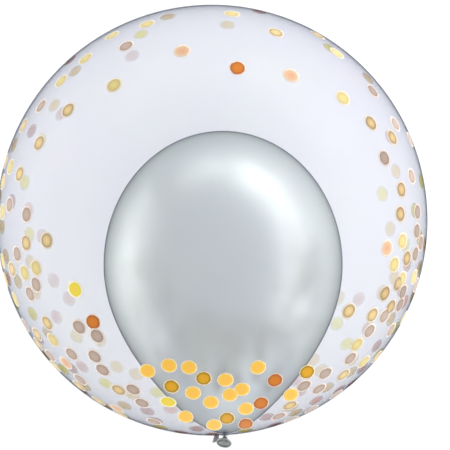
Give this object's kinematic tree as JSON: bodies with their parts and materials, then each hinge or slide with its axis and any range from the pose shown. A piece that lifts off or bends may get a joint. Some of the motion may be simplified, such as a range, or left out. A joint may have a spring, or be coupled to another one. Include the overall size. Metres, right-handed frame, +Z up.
{
  "type": "confetti balloon",
  "caption": "Clear ball-shaped film balloon printed with round confetti dots, with a pear-shaped silver latex balloon standing inside it and its flared tail outside.",
  "frame": {"origin": "middle of the flat spot on the bubble's side, where it lies on the floor", "axes": "+Z up from the flat spot, +Y along the bubble's axis from its neck to its crown, +X across"},
  "size_m": [0.508, 0.5234, 0.5054],
  "materials": {
    "clear_film": "gloss",
    "silver_latex": "satin",
    "confetti_print": "satin"
  },
  "bodies": {
    "root": {"clear_bubble": "clear_film", "silver_balloon": "silver_latex"}
  },
  "joints": []
}
